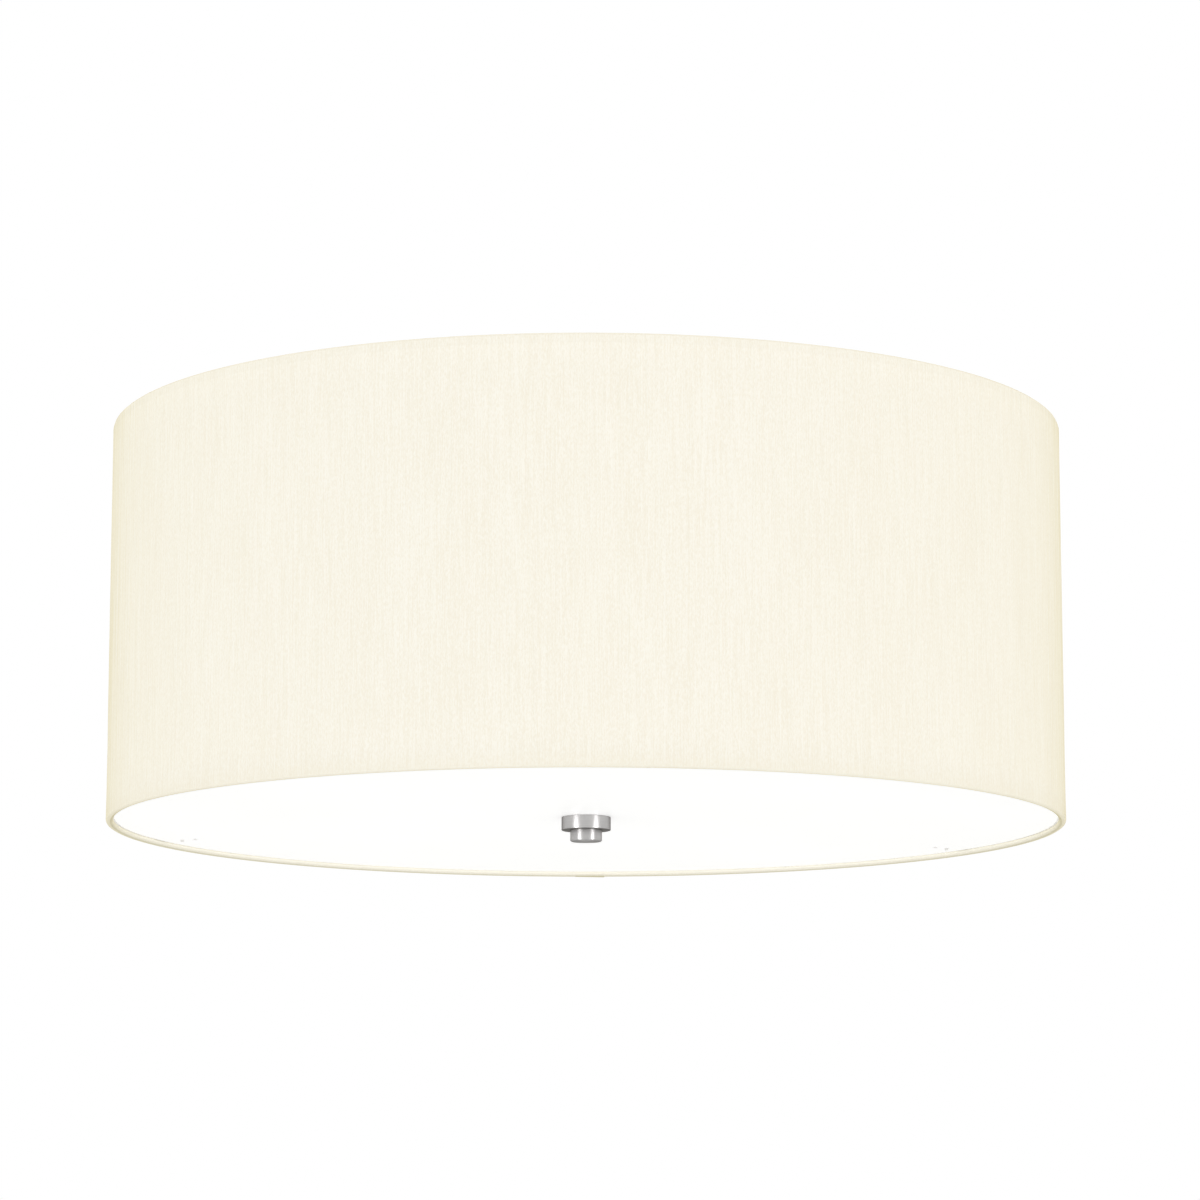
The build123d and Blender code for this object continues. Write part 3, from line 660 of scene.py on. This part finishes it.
studio = {
    "floorDrop": 4.6,
    "floorSize": 90.0,
    "floorColour": (0.70, 0.70, 0.69),
    "floorRough": 0.7,
    "floorGloss": 0.2,
    "floorSeen": (0.95, 0.95, 0.95),
    "floorSeenShare": 0.6,
    "skyLight": 1.09,
    "skySeen": 1.0,
    "aimHeight": -0.26,
    # azimuth 0 is the camera's side
    "strip": {"elevation": -22.0, "far": 3.2, "wide": 1.0, "high": 3.4, "power": 55.0},
    "stripAzimuths": (-49.0, 49.0),
    "softBox": {"azimuth": 0, "elevation": -16, "far": 4.4, "wide": 4.4, "high": 0.8, "power": 3.5},
    "fill": {"elevation": -8, "far": 4.4, "wide": 2.4, "high": 1.6},
    "fills": (
        {"azimuth": -58.0, "power": 11.0, "colour": (0.80, 0.89, 1.0)},
        {"azimuth": 60.0, "power": 10.5, "colour": (0.95, 0.97, 1.0)},
    ),
}
view = {
    "far": 2.7174,
    "below": 0.5735,
    "tiltUp": 9.544,
    "turnRight": 0.184,
    "lens": 130.27,
    "sensor": 36.0,
    "clipEnd": 200,
}


def makeFloor():
    s = studio
    clearSelection()
    bpy.ops.mesh.primitive_plane_add(size=s["floorSize"], location=(0, 0, -s["floorDrop"]))
    floor = startPiece("floor")
    f = Finish("paleFloor")
    f.set(Base_Color=s["floorColour"], Roughness=s["floorRough"], Specular_IOR_Level=s["floorGloss"])
    seen = f.add("ShaderNodeLightPath", out="Is Camera Ray")
    glow = f.add("ShaderNodeEmission", None, {"Color": s["floorSeen"]})
    f.show(f.add("ShaderNodeMixShader", None, {0: seen * s["floorSeenShare"], 1: f.surface, 2: glow}))
    dress(floor, f.material)


def makeSky():
    # plain white to the camera and in metal and clear pieces, its own level as a light
    world = bpy.data.worlds.new("studio")
    bpy.context.scene.world = world
    world.use_nodes = True
    sky = Graph(world.node_tree, "ShaderNodeOutputWorld")
    rays = ("Is Camera Ray", "Is Glossy Ray", "Is Transmission Ray")
    camera, glossy, through = (sky.add("ShaderNodeLightPath", out=ray) for ray in rays)
    seen = camera.math("MAXIMUM", glossy.math("MAXIMUM", through))
    levels = {"Value": seen, "To Min": studio["skyLight"], "To Max": studio["skySeen"]}
    level = sky.add("ShaderNodeMapRange", None, levels)
    sky.show(sky.add("ShaderNodeBackground", None, {"Color": (1, 1, 1), "Strength": level}))


def addLamp(name, azimuth, elevation, far, wide, high, power, colour=(1, 1, 1)):
    # an area lamp that looks at the object's middle
    a, e = math.radians(azimuth), math.radians(elevation)
    height = far * math.sin(e) + studio["aimHeight"]
    spot = (far * math.sin(a) * math.cos(e), -far * math.cos(a) * math.cos(e), height)
    bpy.ops.object.light_add(type="AREA", location=spot)
    lamp = bpy.context.object
    lamp.name = name
    lamp.data.shape, lamp.data.size, lamp.data.size_y = "RECTANGLE", wide, high
    lamp.data.energy, lamp.data.color = power, colour
    lamp.rotation_euler = (math.radians(90) - e, 0, a)
    return lamp


def makeLights():
    for azimuth in studio["stripAzimuths"]:
        strip = addLamp("strip", azimuth, **studio["strip"])
        strip.visible_diffuse = False  # the strips only shine in the metal
    addLamp("softBox", **studio["softBox"])
    for own in studio["fills"]:
        fill = addLamp("fill", **own, **studio["fill"])
        fill.visible_glossy = False  # the fills only lift the cloth


def makeCamera():
    bpy.ops.object.camera_add(location=(0, -view["far"], -view["below"]))
    camera = bpy.context.object
    camera.rotation_euler = (math.radians(90 + view["tiltUp"]), 0, -math.radians(view["turnRight"]))
    camera.data.lens, camera.data.sensor_width = view["lens"], view["sensor"]
    camera.data.clip_end = view["clipEnd"]
    bpy.context.scene.camera = camera


makeFloor()
makeSky()
makeLights()
makeCamera()
bpy.context.scene.view_settings.view_transform = "Standard"
print("stage, light and camera done")
